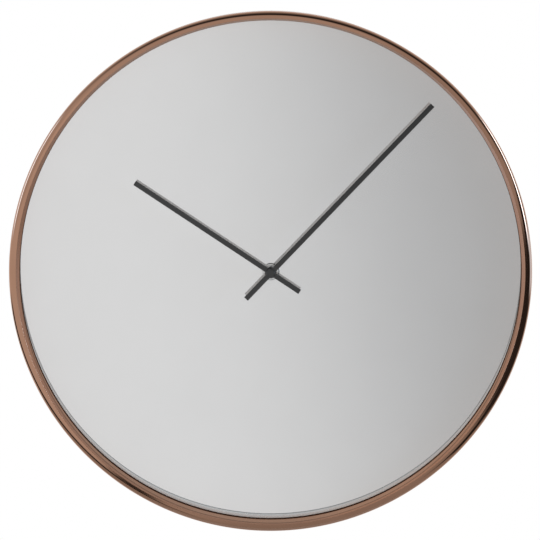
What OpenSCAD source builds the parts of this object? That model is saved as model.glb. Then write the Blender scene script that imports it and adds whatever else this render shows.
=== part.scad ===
// Round mirror wall clock: a polished copper channel frame, a mirror glass dial on a
// fibreboard back, two baton hands and a battery quartz movement with its wheel train.
// Inside the modules x runs right, y up and z from the wall towards the viewer.

/* [Frame] */
// Outside diameter of the frame
frame_d = 600; // [400:5:800]
// Depth of the frame from the wall to its front
frame_depth = 54; // [51:1:70]
// Radial width of the polished front face
face_w = 8.6; // [8:0.2:14]
// Rounding of the outer front corner
outer_round = 6; // [3:0.5:7]
// Rounding of the inner lip
lip_round = 1.4; // [1.3:0.1:2]
// Thickness of the sheet metal
sheet_t = 1.2; // [0.8:0.1:1.2]
// Radial width of the flange turned in at the rear
flange_w = 3.4; // [2.5:0.1:5]
// Height of the lip in front of the glass
lip_h = 21; // [20:0.5:24]
// How far the lip leans in between the front and the glass
lip_lean = 2.4; // [0:0.1:4]

/* [Dial] */
// Thickness of the mirror glass
glass_t = 3; // [2:0.5:5]
// Thickness of the fibreboard back
board_t = 5; // [4:0.5:6]
// Gap between the discs and the opening of the rear flange
disc_gap = 0.6; // [0.3:0.1:2]
// Thickness of the gasket under the frame's inner wall
gasket_t = 1; // [0.5:0.1:2]
// Radial width of the gasket
gasket_w = 3; // [1.5:0.5:5]
// Clearance between curved faces that lie against each other
seat_gap = 0.05; // [0.02:0.01:0.1]
// Turned-down edge on the front of the mirror glass
glass_edge = 0.6; // [0.3:0.1:1.2]

/* [Retaining clips] */
// Number of clips around the board
clip_count = 8; // [4:1:12]
// Sheet thickness of a clip
clip_t = 1.2; // [0.8:0.1:2]
// Radial length of the foot on the board
clip_foot = 18; // [14:1:30]
// Angle that a clip covers
clip_angle = 3.2; // [2.4:0.1:6]
// Angle of the first clip
clip_first = 22.5; // [0:0.5:45]
// Diameter of the clip screw's shank
screw_d = 3; // [2.5:0.5:4]
// Diameter of the clip screw's head
screw_head_d = 6; // [5:0.5:8]
// Height of the clip screw's head
screw_head_h = 2; // [1:0.2:3]
// Depth of the screw in the board
screw_grip = 3.6; // [2:0.1:4]
// Distance of the screw from the frame wall
screw_in = 11; // [8:0.5:14]
// Width of the cross recess in the screw's head
cross_w = 0.8; // [0.6:0.1:1]

/* [Hanger] */
// Half of the angle that the hanger plate covers
hanger_half = 7; // [6:0.5:15]
// Height of the hanger plate below the frame wall
hanger_h = 40; // [36:1:60]
// Thickness of the hanger plate
hanger_t = 1.5; // [1:0.1:3]
// Depth of the leg along the frame wall
hanger_leg = 12; // [6:1:18]
// Diameter of the keyhole's entry
key_d = 9; // [8:0.5:11]
// Width of the keyhole's slot
key_slot = 4.6; // [3:0.2:5.5]
// Distance from the entry to the end of the slot
key_rise = 13; // [9:0.5:18]
// Distance from the frame wall to the end of the slot
key_drop = 14; // [10:0.5:20]

/* [Hands] */
// Length of the minute hand from the axis
minute_len = 267; // [120:1:280]
// Tail of the minute hand
minute_tail = 41; // [20:1:60]
// Length of the hour hand from the axis
hour_len = 187; // [90:1:200]
// Tail of the hour hand
hour_tail = 40; // [20:1:60]
// Width of both hands
hand_w = 5.8; // [4:0.2:10]
// Thickness of both hands
hand_t = 0.8; // [0.5:0.1:1.2]
// Height of the hour hand in front of the glass
hour_z = 10.6; // [9.8:0.1:11.6]
// Height of the minute hand in front of the glass
minute_z = 16.6; // [15.8:0.1:17]
// Diameter of the hour hand's boss
hour_boss_d = 13; // [10:0.5:20]
// Diameter of the minute hand's boss
minute_boss_d = 11; // [8:0.5:16]
// Diameter of the hand nut
cap_d = 10; // [8:0.5:14]
// Height of the hand nut
cap_h = 2.4; // [1.6:0.1:2.6]
// Wall of the bushes under the hands
bush_wall = 1.4; // [1:0.1:1.6]
// Axial gap between the post, the bushes and the pipe
bush_gap = 0.6; // [0.3:0.1:0.8]
// Minutes past twelve o'clock that the hands show
shown_minutes = 607.3; // [0:0.1:720]

/* [Post and nut] */
// Diameter of the threaded post
post_d = 8; // [7:0.5:10]
// Length of the post in front of the glass
post_front = 5.4; // [4.6:0.1:6]
// Diameter of the post's foot flange
post_flange_d = 12; // [10:0.5:13]
// Diameter of the dial washer
washer_d = 20; // [16:0.5:26]
// Thickness of the dial washer
washer_t = 0.6; // [0.4:0.1:1]
// Width of the nut across its flats
nut_af = 12; // [11:0.5:16]
// Distance of the turned face's rim inside the flats of the nut
nut_edge = 0.2; // [0.1:0.1:0.4]
// Slope of the turned corners to the nut's face
nut_turned_a = 30; // [20:5:45]
// Thickness of the nut
nut_t = 2.4; // [1.5:0.1:2.8]
// Clearance of the holes in glass and board around the post
post_clear = 0.5; // [0.2:0.1:1]
// Thickness of the rubber washer
rubber_t = 0.6; // [0.4:0.1:1]
// Diameter of the rubber washer
rubber_d = 22; // [16:1:30]

/* [Movement housing] */
// Width and height of the movement
mv_size = 56; // [56:1:64]
// Thickness of the movement
mv_t = 16; // [16:0.5:18]
// Corner rounding of the movement
mv_round = 4; // [2:0.5:6]
// Wall of the movement's sides
mv_wall = 1.4; // [1:0.1:1.6]
// Floor of the movement base
floor_t = 1.6; // [1.4:0.1:2]
// Thickness of the bridge plate
bridge_t = 1; // [0.8:0.1:1.4]
// Rear wall of the cover
cover_t = 1.4; // [1:0.1:1.6]
// Thickness of the wall between the wheels and the cell
partition_t = 1; // [0.8:0.1:1.2]
// Diameter of the pillars
pillar_d = 3.6; // [3:0.1:4]
// Distance that the corner pillars stand nearer to the wall than their own diameter
pillar_near = 1; // [0.5:0.1:1]
// Diameter of the pillars' spigots
spigot_d = 2; // [1.4:0.1:2.2]
// Width of the finger notch beside the cell
notch_w = 20; // [14:0.5:26]
// Depth of the finger notch
notch_depth = 3; // [1.5:0.1:3.4]
// Width of the snap tongues on the housing's sides
tongue_w = 8; // [5:0.5:10]
// Thickness of the snap tongues
tongue_t = 1; // [0.8:0.1:1.4]
// Reach of the snap tongues over the base
tongue_len = 5; // [4:0.1:7]
// Wall of the collar round the setting stem
collar_w = 1.2; // [0.8:0.1:1.6]
// Height of the collar inside the cover
collar_h = 1.6; // [1:0.1:2.2]

/* [Wheel train] */
// Module of the motion work
mod_motion = 0.4; // [0.38:0.01:0.42]
// Module of the going train
mod_train = 0.25; // [0.24:0.005:0.26]
// Module of the first reduction at the rotor
mod_first = 0.2; // [0.19:0.005:0.21]
// Pressure angle of the teeth
press_a = 20; // [14.5:0.5:25]
// Height of a tooth above the pitch circle, in modules
tooth_add = 0.8; // [0.7:0.05:1]
// Depth of a tooth below the pitch circle, in modules
tooth_ded = 1.2; // [1.1:0.05:1.3]
// Thinning of each tooth flank, in modules
tooth_slack = 0.18; // [0.1:0.01:0.25]
// Thickness of a wheel
wheel_t = 0.8; // [0.6:0.05:0.9]
// Axial gap between wheels
level_gap = 0.6; // [0.5:0.05:0.7]
// Overhang of a pinion on each side of its wheel
pinion_over = 0.2; // [0.1:0.05:0.25]
// Radial width of a wheel's rim inside its teeth
rim_w = 0.9; // [0.6:0.1:1.4]
// Depth of the sunk web on each side of a wheel
web_sink = 0.2; // [0.1:0.05:0.25]
// Diameter of the wheel arbors
arbor_d = 1.4; // [1.2:0.1:1.6]
// Radial running clearance
run_gap = 0.05; // [0.02:0.01:0.1]
// Outside diameter of the hour pipe
hour_pipe_d = 5; // [4.8:0.1:5.4]
// Diameter of the minute arbor
minute_d = 3.4; // [3:0.1:3.6]
// Diameter of the minute arbor behind its pinion
minute_rear_d = 2; // [1.6:0.1:2.2]
// Width across the flats that carry the minute hand
minute_flat = 2.6; // [2:0.1:2.8]
// Diameter of the setting stem
stem_d = 2.4; // [2:0.1:3]
// Diameter of the setting knob
knob_d = 11; // [9:0.5:13]
// Height of the setting knob
knob_h = 3; // [2:0.2:4]

/* [Motor and circuit] */
// Diameter of the rotor magnet
magnet_d = 6; // [5:0.2:6.4]
// Length of the rotor magnet
magnet_h = 3; // [2:0.2:3.4]
// Air gap around the rotor magnet
air_gap = 0.4; // [0.2:0.05:0.6]
// Thickness of the stator plate
stator_t = 0.8; // [0.5:0.1:1]
// Size of the stator around the rotor
stator_eye = 10.4; // [9.6:0.1:10.6]
// Width of the stator's arms
stator_arm = 3; // [2.4:0.1:3.2]
// Thickness of the coil core
core_t = 0.8; // [0.5:0.1:1]
// Length of the coil between its end plates
coil_len = 12; // [10:0.5:12.5]
// Diameter of the coil winding
coil_d = 5.4; // [4:0.2:5.6]
// Side of the coil's end plates
coil_flange = 6; // [5:0.1:6]
// Length of the circuit board
pcb_len = 21; // [16:0.5:22]
// Width of the circuit board
pcb_w = 7.4; // [6:0.1:7.6]
// Thickness of the circuit board
pcb_t = 0.8; // [0.6:0.1:1.2]
// Diameter of the crystal can
crystal_d = 2; // [1.5:0.1:3]
// Length of the crystal can
crystal_len = 6; // [5:0.5:8]

/* [Battery] */
// Diameter of the cell
cell_d = 14.2; // [13.5:0.1:14.5]
// Length of the cell without its button
cell_len = 49.2; // [48:0.1:49.5]
// Diameter of the cell's button
button_d = 5.4; // [4.5:0.1:6]
// Length of the cell's button
button_len = 1.2; // [1:0.1:1.5]
// Clearance around the cell
cell_gap = 0.3; // [0.2:0.05:0.4]
// Thickness of the contact strips
contact_t = 0.35; // [0.25:0.05:0.4]
// Width of the contact strips
contact_w = 6.4; // [5:0.2:6.6]

/* [Hidden] */
$fn = 96;
eps = 0.01;
full_turn = 360;
half_turn = full_turn / 2;
hours_on_dial = 12;

// frame and dial
frame_r = frame_d / 2;
wall_in_r = frame_r - sheet_t;
lip_r = frame_r - face_w - lip_lean;
disc_r = frame_r - flange_w - disc_gap;
z_glass = frame_depth - lip_h;
z_glass_back = z_glass - glass_t;
z_board_back = z_glass_back - board_t;
z_leg_end = z_glass + gasket_t;
lean_a = atan(lip_lean / (frame_depth - z_leg_end));
z_lip_round = frame_depth - lip_round;
lip_round_r = lip_r + lip_round / cos(lean_a) + (z_lip_round - z_leg_end) * tan(lean_a);
z_movement = z_board_back - rubber_t;
post_hole_d = post_d + 2 * post_clear;
screw_r = wall_in_r - screw_in;

// hands on their pipe and arbor
hour_bush_d = hour_pipe_d + 2 * bush_wall;
minute_bush_d = minute_d + 2 * bush_wall;
z_hour = z_glass + hour_z;
z_minute = z_glass + minute_z;
z_hour_bush = z_glass + post_front + bush_gap;
z_pipe_tip = z_hour + hand_t + bush_gap;
z_minute_bush = z_pipe_tip + bush_gap;
z_cap = z_minute + hand_t;
z_arbor_tip = z_cap + cap_h / 2;

// levels of the train, measured from the movement's front face into the clock
level_step = wheel_t + level_gap;
lv_hour = floor_t + level_gap;
lv_motion = lv_hour + level_step;
lv_centre = lv_motion + level_step;
lv_third = lv_centre + level_step;
lv_seconds = lv_third + level_step;
lv_first = lv_seconds + level_step;
lv_bridge = lv_first + level_step;
lv_split = lv_bridge + bridge_t;
pivot_depth = 0.8;
pivot_end = 0.2;

// tooth counts
t_cannon = 15;
t_motion = 45;
t_motion_pinion = 12;
t_hour = 48;
t_setting = 18;
t_leaf = 10;
t_centre = 80;
t_third = 75;
t_seconds = 50;
t_first = 60;

// positions of the arbors
function along(p, len, a) = [p[0] + len * cos(a), p[1] + len * sin(a)];
function spacing(ta, tb, m) = m * (ta + tb) / 2;
a_motion = 10;
a_setting = 60;
a_third = 135;
a_seconds = 20;
a_first = 60;
a_rotor = 170;
p_centre = [0, 0];
p_motion = along(p_centre, spacing(t_cannon, t_motion, mod_motion), a_motion);
p_setting = along(p_motion, spacing(t_motion, t_setting, mod_motion), a_setting);
p_third = along(p_centre, spacing(t_centre, t_leaf, mod_train), a_third);
p_seconds = along(p_third, spacing(t_third, t_leaf, mod_train), a_seconds);
p_first = along(p_seconds, spacing(t_seconds, t_leaf, mod_train), a_first);
p_rotor = along(p_first, spacing(t_first, t_leaf, mod_first), a_rotor);

// turn of a driven gear that puts its gap on the driver's tooth at the pitch point
function in_mesh(ta, turn_a, dir, tb) =
  dir + half_turn + (half_turn - ta * (turn_a - dir)) / tb;
turn_cannon = -shown_minutes * full_turn / 60;
turn_motion = in_mesh(t_cannon, turn_cannon, a_motion, t_motion);
turn_motion_pinion = turn_motion;
turn_hour = in_mesh(t_motion_pinion, turn_motion_pinion, a_motion + half_turn, t_hour);
turn_setting = in_mesh(t_motion, turn_motion, a_setting, t_setting);
turn_centre = 0;
turn_third_leaf = in_mesh(t_centre, turn_centre, a_third, t_leaf);
turn_third = 0;
turn_seconds_leaf = in_mesh(t_third, turn_third, a_seconds, t_leaf);
turn_seconds = 0;
turn_first_leaf = in_mesh(t_seconds, turn_seconds, a_first, t_leaf);
turn_first = 0;
turn_rotor = in_mesh(t_first, turn_first, a_rotor, t_leaf);
minute_turn = -shown_minutes * full_turn / 60;
hour_turn = minute_turn / hours_on_dial;

// housing
half = mv_size / 2;
room = half - mv_wall;
cell_r = cell_d / 2;
bay_low = -room;
bay_high = bay_low + cell_d + 2 * cell_gap;
room_low = bay_high + partition_t;
bay_floor = floor_t / 2;
cell_y = bay_low + cell_gap + cell_r;
cell_lv = bay_floor + cell_gap + cell_r;
foot_x = room - pillar_d + pillar_near;
pillar_left_x = -15.5;
pillar_stator_y = 16.8;
eye_step = 4;
pillar_right_top = [foot_x, foot_x];
pillar_right_low = [foot_x, room_low + pillar_d];
pillar_left_low = [pillar_left_x, room_low + pillar_d];
pillar_stator = [-foot_x, pillar_stator_y];
pillar_eye = [p_rotor[0] + eye_step, p_rotor[1] + eye_step];
lv_stator = lv_motion + level_gap;
lv_core = lv_stator + stator_t;
lv_magnet = lv_stator + stator_t / 2 - magnet_h / 2;
stator_left = pillar_stator[0] - stator_arm / 2;
stator_low = pillar_stator[1] - stator_arm / 2;
coil_x = -14.6;
coil_y = 22;
coil_end = 0.8;
lv_coil = lv_core + core_t / 2;
core_w = 2.6;
core_gap = 0.5;
core_right = p_rotor[0] - magnet_d / 2 - air_gap - core_gap;
slot_clear = 0.1;
side_gap = 0.3;
pcb_foot = 1;
pcb_left = -room + contact_t + side_gap;
pcb_low = room_low + 2 * side_gap;
pcb_top = pcb_low + pcb_len;
lv_pcb = floor_t + pcb_foot;
knob_gap = 0.4;

// faces the viewer: the clock stands upright with its front towards minus y
module upright() {
  rotate([90, 0, 0])
    children();
}

// places children in the movement, whose depth runs from its front face towards the wall
module in_movement(p, lv, len) {
  upright()
    translate([p[0], p[1], z_movement - lv - len])
      children();
}

module disc(r, len) {
  cylinder(r = r, h = len);
}

module ring(r_out, r_in, len) {
  difference() {
    disc(r_out, len);
    translate([0, 0, -eps])
      disc(r_in, len + 2 * eps);
  }
}

module rounded_rect(w, h, r) {
  square([w - 2 * r, h], center = true);
  square([w, h - 2 * r], center = true);
  for (sx = [-1, 1], sy = [-1, 1])
    translate([sx * (w / 2 - r), sy * (h / 2 - r)])
      circle(r);
}

// toothed outline with involute flanks
function inv_deg(a) = tan(a) * half_turn / PI - a;
function flank(n, m, r) =
  half_turn / 2 / n - tooth_slack * half_turn / PI / (n / 2) + inv_deg(press_a)
  - inv_deg(acos(min(1, n * m / 2 * cos(press_a) / r)));
function tooth_radii(n, m) =
  let (rp = n * m / 2, low = max(rp * cos(press_a), rp - tooth_ded * m), high = rp + tooth_add * m)
  [rp - tooth_ded * m, low, (low + high) / 2, high];
function gear_outline(n, m) = [
  for (i = [0:n - 1], s = [-1, 1], k = [0:3])
    let (radii = tooth_radii(n, m), r = radii[s < 0 ? k : 3 - k])
    let (a = i * full_turn / n + s * flank(n, m, r))
    [r * cos(a), r * sin(a)]
];

module gear(n, m, len, turn) {
  rotate(turn)
    linear_extrude(len)
      polygon(gear_outline(n, m));
}

module bore(r, len) {
  translate([0, 0, -eps])
    disc(r, len + 2 * eps);
}

// plain arbor from the blind pivot in the base to the pivot in the bridge
module arbor(p, d) {
  in_movement(p, floor_t - pivot_depth, lv_split - pivot_end - floor_t + pivot_depth)
    disc(d / 2, lv_split - pivot_end - floor_t + pivot_depth);
}

// wheel with a hub, and a web sunk between the hub and the rim on both sides
module wheel(p, lv, n, m, turn, hub_r) {
  rim_r = n * m / 2 - tooth_ded * m - rim_w;
  in_movement(p, lv, wheel_t)
    difference() {
      gear(n, m, wheel_t, turn);
      if (rim_r > hub_r + rim_w)
        for (z = [-eps, wheel_t - web_sink])
          translate([0, 0, z])
            ring(rim_r, hub_r, web_sink + eps);
    }
}

module pinion(p, lv, n, m, turn) {
  in_movement(p, lv - pinion_over, wheel_t + 2 * pinion_over)
    gear(n, m, wheel_t + 2 * pinion_over, turn);
}

// filled section of the frame channel, set in by a sheet thickness for the hollow:
// its straight sides, with the lip leaning in towards the glass, and the two roundings
module channel_section(inset, z_low) {
  r_high = frame_r - inset;
  z_top = frame_depth - inset;
  big = outer_round - inset;
  small = lip_round - inset;
  touch_r = lip_round_r - small * cos(lean_a);
  z_touch = z_lip_round + small * sin(lean_a);
  foot_r = touch_r - (z_touch - z_low) * tan(lean_a);
  polygon([
    [foot_r, z_low], [r_high, z_low],
    [r_high, z_top - big], [r_high - big, z_top],
    [lip_round_r, z_top], [touch_r, z_touch]
  ]);
  translate([lip_round_r, z_lip_round])
    circle(small);
  translate([r_high - big, z_top - big])
    circle(big);
}

module frame_ring() {
  color([0.72, 0.47, 0.36])
    upright()
      rotate_extrude() {
        difference() {
          channel_section(0, z_leg_end);
          channel_section(sheet_t, z_leg_end - sheet_t);
        }
        translate([wall_in_r, 0])
          square([sheet_t, z_leg_end + sheet_t]);
        translate([frame_r - flange_w, 0])
          square([flange_w, sheet_t]);
      }
}

module front_gasket() {
  color([0.08, 0.07, 0.07])
    upright()
      translate([0, 0, z_glass])
        ring(lip_r + gasket_w, lip_r, gasket_t);
}

module mirror_disc() {
  color([0.82, 0.84, 0.85])
    upright()
      translate([0, 0, z_glass_back])
        difference() {
          union() {
            disc(disc_r, glass_t - glass_edge);
            translate([0, 0, glass_t - glass_edge])
              cylinder(r1 = disc_r, r2 = disc_r - glass_edge, h = glass_edge);
          }
          bore(post_hole_d / 2, glass_t);
        }
}

module backing_board() {
  color([0.55, 0.42, 0.28])
    upright()
      difference() {
        translate([0, 0, z_board_back])
          ring(disc_r, post_hole_d / 2, board_t);
        at_clips()
          translate([screw_r, 0, z_board_back - eps])
            disc(screw_d / 2, screw_grip + eps);
      }
}

module edge_strip() {
  color([0.16, 0.16, 0.17])
    upright()
      translate([0, 0, z_board_back])
        ring(wall_in_r - seat_gap, disc_r + seat_gap, board_t + glass_t);
}

module at_clips() {
  for (i = [0:clip_count - 1])
    rotate(clip_first + i * full_turn / clip_count)
      children();
}

// angled strut: its foot lies on the board and its leg bears on the rear flange
module retaining_clips() {
  color([0.66, 0.67, 0.68])
    upright()
      at_clips()
        difference() {
          rotate(-clip_angle / 2)
            rotate_extrude(angle = clip_angle) {
              translate([wall_in_r - seat_gap - clip_foot, z_board_back - clip_t])
                square([clip_foot, clip_t]);
              translate([wall_in_r - seat_gap - clip_t, sheet_t])
                square([clip_t, z_board_back - sheet_t]);
            }
          translate([screw_r, 0, z_board_back - clip_t])
            bore(screw_d / 2 + seat_gap, clip_t);
        }
}

module clip_screws() {
  cross_len = screw_head_d / 2;
  color([0.75, 0.75, 0.76])
    upright()
      at_clips()
        translate([screw_r, 0, z_board_back]) {
          translate([0, 0, -clip_t])
            disc(screw_d / 2, clip_t + screw_grip);
          translate([0, 0, -clip_t - screw_head_h])
            difference() {
              disc(screw_head_d / 2, screw_head_h);
              for (a = [0, 90])
                rotate(a)
                  translate([-cross_len / 2, -cross_w / 2, -eps])
                    cube([cross_len, cross_w, screw_head_h / 2]);
            }
        }
}

// plate with a keyhole on the rear flange, and a leg bent forward along the frame wall
module hanger_plate() {
  key_top = wall_in_r - key_drop;
  key_low = key_top - key_rise;
  outer = wall_in_r - seat_gap;
  color([0.6, 0.61, 0.63])
    upright() {
      difference() {
        rotate(90 - hanger_half)
          rotate_extrude(angle = 2 * hanger_half)
            translate([outer - hanger_h, sheet_t])
              square([hanger_h, hanger_t]);
        translate([0, key_low, sheet_t])
          bore(key_d / 2, hanger_t);
        translate([0, key_top, sheet_t])
          bore(key_slot / 2, hanger_t);
        translate([-key_slot / 2, key_low, sheet_t - eps])
          cube([key_slot, key_rise, hanger_t + 2 * eps]);
      }
      rotate(90 - hanger_half)
        rotate_extrude(angle = 2 * hanger_half)
          translate([outer - hanger_t, sheet_t])
            square([hanger_t, hanger_leg]);
    }
}

// outline of the room for the wheels and of the bay for the cell
module room_outline() {
  translate([-room, room_low])
    square([2 * room, room - room_low]);
}

module bay_outline() {
  translate([-room, bay_low])
    square([2 * room, bay_high - bay_low]);
}

// slots at both ends of the partition where the contact strips pass
module contact_slots() {
  slot_w = contact_t + 2 * slot_clear;
  for (s = [-1, 1])
    translate([s * (room - slot_w / 2) - slot_w / 2, bay_high - eps])
      square([slot_w, partition_t + 2 * eps]);
}

module movement_base() {
  color([0.10, 0.10, 0.11]) {
    difference() {
      in_movement(p_centre, 0, lv_split)
        linear_extrude(lv_split)
          rounded_rect(mv_size, mv_size, mv_round);
      in_movement(p_centre, floor_t, lv_split)
        linear_extrude(lv_split)
          room_outline();
      in_movement(p_centre, bay_floor, lv_split)
        linear_extrude(lv_split)
          bay_outline();
      in_movement(p_centre, lv_pcb, lv_split)
        linear_extrude(lv_split)
          contact_slots();
      in_movement(p_centre, 0, floor_t)
        bore(post_d / 2 + seat_gap, floor_t);
      in_movement(p_centre, floor_t / 2, floor_t)
        disc(post_flange_d / 2 + seat_gap, floor_t);
      for (p = [p_motion, p_third, p_seconds, p_first, p_rotor])
        in_movement(p, floor_t - pivot_depth - pivot_end, floor_t)
          disc(arbor_d / 2 + run_gap, floor_t);
      in_movement(p_setting, floor_t - pivot_depth - pivot_end, floor_t)
        disc(stem_d / 2 + run_gap, floor_t);
    }
    for (p = [pillar_right_top, pillar_right_low, pillar_left_low]) {
      in_movement(p, floor_t, lv_bridge - floor_t)
        disc(pillar_d / 2, lv_bridge - floor_t);
      in_movement(p, lv_bridge, bridge_t)
        disc(spigot_d / 2, bridge_t);
    }
    in_movement(pillar_stator, floor_t, lv_stator - floor_t)
      disc(pillar_d / 2, lv_stator - floor_t);
    in_movement(pillar_stator, lv_stator, lv_split - lv_stator)
      disc(spigot_d / 2, lv_split - lv_stator);
    in_movement(pillar_eye, floor_t, lv_stator - floor_t)
      disc(spigot_d / 2, lv_stator - floor_t);
    for (y = [pcb_low + pcb_w / 2, pcb_top - pcb_w / 2])
      in_movement([pcb_left + pcb_w / 2, y], floor_t, lv_pcb - floor_t)
        disc(spigot_d, lv_pcb - floor_t);
    for (s = [-1, 1])
      side_block(s, lv_split - tongue_len + tongue_t + slot_clear,
        tongue_len - 2 * tongue_t - 2 * slot_clear,
        tongue_w / 2 - 2 * slot_clear, -mv_wall / 2, tongue_t);
  }
}

module movement_bridge() {
  color([0.86, 0.85, 0.80])
    difference() {
      in_movement(p_centre, lv_bridge, bridge_t)
        linear_extrude(bridge_t)
          translate([-room + contact_t + side_gap, room_low + slot_clear])
            square([2 * (room - contact_t - side_gap), room - room_low - 2 * slot_clear]);
      for (p = [p_motion, p_third, p_seconds, p_first, p_rotor])
        in_movement(p, lv_bridge, bridge_t)
          bore(arbor_d / 2 + run_gap, bridge_t);
      in_movement(p_centre, lv_bridge, bridge_t)
        bore(minute_rear_d / 2 + run_gap, bridge_t);
      in_movement(p_setting, lv_bridge, bridge_t)
        bore(stem_d / 2 + run_gap, bridge_t);
      for (p = [pillar_right_top, pillar_right_low, pillar_left_low, pillar_stator])
        in_movement(p, lv_bridge, bridge_t)
          bore(spigot_d / 2 + seat_gap, bridge_t);
    }
}

// round notch in the bay's outer wall, where a finger gets under the cell
module finger_notch() {
  r = (notch_w * notch_w / 4 + notch_depth * notch_depth) / (2 * notch_depth);
  in_movement([0, -half], mv_t + r - notch_depth, 0)
    translate([0, mv_wall + eps, 0])
      rotate([90, 0, 0])
        disc(r, mv_wall + 2 * eps);
}

// block on one side wall, measured from the wall's outer face; s picks the side
module side_block(s, lv, len, w, low, high) {
  in_movement([s * (half + (low + high) / 2) - (high - low) / 2, -w / 2], lv, len)
    cube([high - low, w, len]);
}

// snap tongue on each side: it hangs over the base, and its window takes the base's catch
module snap_tongues() {
  for (s = [-1, 1]) {
    side_block(s, lv_split, mv_t - cover_t - lv_split, tongue_w, -mv_wall / 2, tongue_t);
    difference() {
      side_block(s, lv_split - tongue_len, tongue_len + eps, tongue_w, slot_clear, tongue_t);
      side_block(s, lv_split - tongue_len + tongue_t, tongue_len - 2 * tongue_t, tongue_w / 2, 0,
        tongue_t + eps);
    }
  }
}

module movement_cover() {
  len = mv_t - lv_split;
  inner = len - cover_t;
  collar_r = stem_d / 2 + knob_gap;
  color([0.10, 0.10, 0.11]) {
    difference() {
      in_movement(p_centre, lv_split, len)
        linear_extrude(len)
          rounded_rect(mv_size, mv_size, mv_round);
      in_movement(p_centre, lv_split - eps, inner + eps)
        linear_extrude(inner + eps) {
          room_outline();
          contact_slots();
        }
      in_movement(p_centre, lv_split, len)
        translate([0, 0, -eps])
          linear_extrude(len + 2 * eps)
            bay_outline();
      in_movement(p_setting, lv_split, len)
        bore(collar_r, len);
      finger_notch();
    }
    in_movement(p_setting, mv_t - cover_t - collar_h, collar_h + eps)
      ring(collar_r + collar_w, collar_r, collar_h + eps);
    snap_tongues();
  }
}

module threaded_post() {
  tip = z_glass + post_front;
  foot = z_movement - floor_t;
  color([0.80, 0.80, 0.80])
    upright()
      difference() {
        union() {
          translate([0, 0, foot])
            disc(post_d / 2, tip - foot);
          translate([0, 0, foot])
            disc(post_flange_d / 2, floor_t / 2);
        }
        translate([0, 0, foot])
          bore(hour_pipe_d / 2 + run_gap, tip - foot);
      }
}

module rubber_washer() {
  color([0.07, 0.07, 0.07])
    upright()
      translate([0, 0, z_movement])
        ring(rubber_d / 2, post_d / 2 + seat_gap, rubber_t);
}

module dial_washer() {
  color([0.80, 0.80, 0.80])
    upright()
      translate([0, 0, z_glass])
        ring(washer_d / 2, post_d / 2 + seat_gap, washer_t);
}

// thin nut with its corners turned off at both faces
module hex_nut() {
  nut_face_r = nut_af / 2 - nut_edge;
  nut_spread = nut_t / tan(nut_turned_a);
  color([0.80, 0.80, 0.80])
    upright()
      translate([0, 0, z_glass + washer_t])
        difference() {
          intersection() {
            cylinder(d = nut_af / cos(half_turn / 6), h = nut_t, $fn = 6);
            cylinder(r1 = nut_face_r, r2 = nut_face_r + nut_spread, h = nut_t);
            cylinder(r1 = nut_face_r + nut_spread, r2 = nut_face_r, h = nut_t);
          }
          bore(post_d / 2 + seat_gap, nut_t);
        }
}

module hour_wheel() {
  foot = z_movement - lv_hour - wheel_t;
  color([0.93, 0.92, 0.88])
    difference() {
      union() {
        wheel(p_centre, lv_hour, t_hour, mod_motion, turn_hour, hour_bush_d / 2);
        in_movement(p_centre, floor_t + pivot_end, lv_hour - floor_t)
          disc(hour_bush_d / 2, lv_hour - floor_t);
        upright()
          translate([0, 0, foot])
            disc(hour_pipe_d / 2, z_pipe_tip - foot);
      }
      upright()
        translate([0, 0, foot])
          bore(minute_d / 2 + run_gap, z_pipe_tip - foot);
    }
}

module baton(len, tail, boss_d) {
  linear_extrude(hand_t) {
    translate([-hand_w / 2, -tail])
      square([hand_w, len + tail]);
    circle(d = boss_d);
  }
}

module hour_hand() {
  color([0.05, 0.05, 0.055])
    upright()
      rotate(hour_turn)
        difference() {
          union() {
            translate([0, 0, z_hour])
              baton(hour_len, hour_tail, hour_boss_d);
            translate([0, 0, z_hour_bush])
              disc(hour_bush_d / 2, z_hour - z_hour_bush);
          }
          translate([0, 0, z_hour_bush])
            bore(hour_pipe_d / 2 + seat_gap, z_hour + hand_t - z_hour_bush);
        }
}

// section with two flats that keeps the minute hand from slipping
module flatted(d, flat) {
  intersection() {
    circle(d = d);
    square([flat, d], center = true);
  }
}

module minute_arbor() {
  front = z_movement - lv_motion - wheel_t;
  rear = z_movement - lv_split + pivot_end;
  color([0.80, 0.66, 0.36]) {
    pinion(p_centre, lv_motion, t_cannon, mod_motion, turn_cannon);
    upright() {
      translate([0, 0, front])
        disc(minute_d / 2, z_minute_bush - front);
      translate([0, 0, rear])
        disc(minute_rear_d / 2, front - rear);
      rotate(minute_turn)
        translate([0, 0, z_minute_bush - eps])
          linear_extrude(z_cap - z_minute_bush + eps)
            flatted(minute_d, minute_flat);
      translate([0, 0, z_cap - eps])
        disc(minute_flat / 2, z_arbor_tip - z_cap + eps);
    }
  }
}

module minute_hand() {
  color([0.05, 0.05, 0.055])
    upright()
      rotate(minute_turn)
        difference() {
          union() {
            translate([0, 0, z_minute])
              baton(minute_len, minute_tail, minute_boss_d);
            translate([0, 0, z_minute_bush])
              disc(minute_bush_d / 2, z_minute - z_minute_bush);
          }
          translate([0, 0, z_minute_bush - eps])
            linear_extrude(z_cap - z_minute_bush + 2 * eps)
              flatted(minute_d + 2 * seat_gap, minute_flat + 2 * seat_gap);
        }
}

module hand_nut() {
  edge = cap_h / 4;
  color([0.05, 0.05, 0.055])
    upright()
      translate([0, 0, z_cap])
        difference() {
          union() {
            disc(cap_d / 2, cap_h - edge);
            translate([0, 0, cap_h - edge])
              cylinder(r1 = cap_d / 2, r2 = cap_d / 2 - edge, h = edge);
          }
          translate([0, 0, -eps])
            disc(minute_flat / 2 + seat_gap, cap_h / 2 + pivot_end + eps);
        }
}

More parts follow.
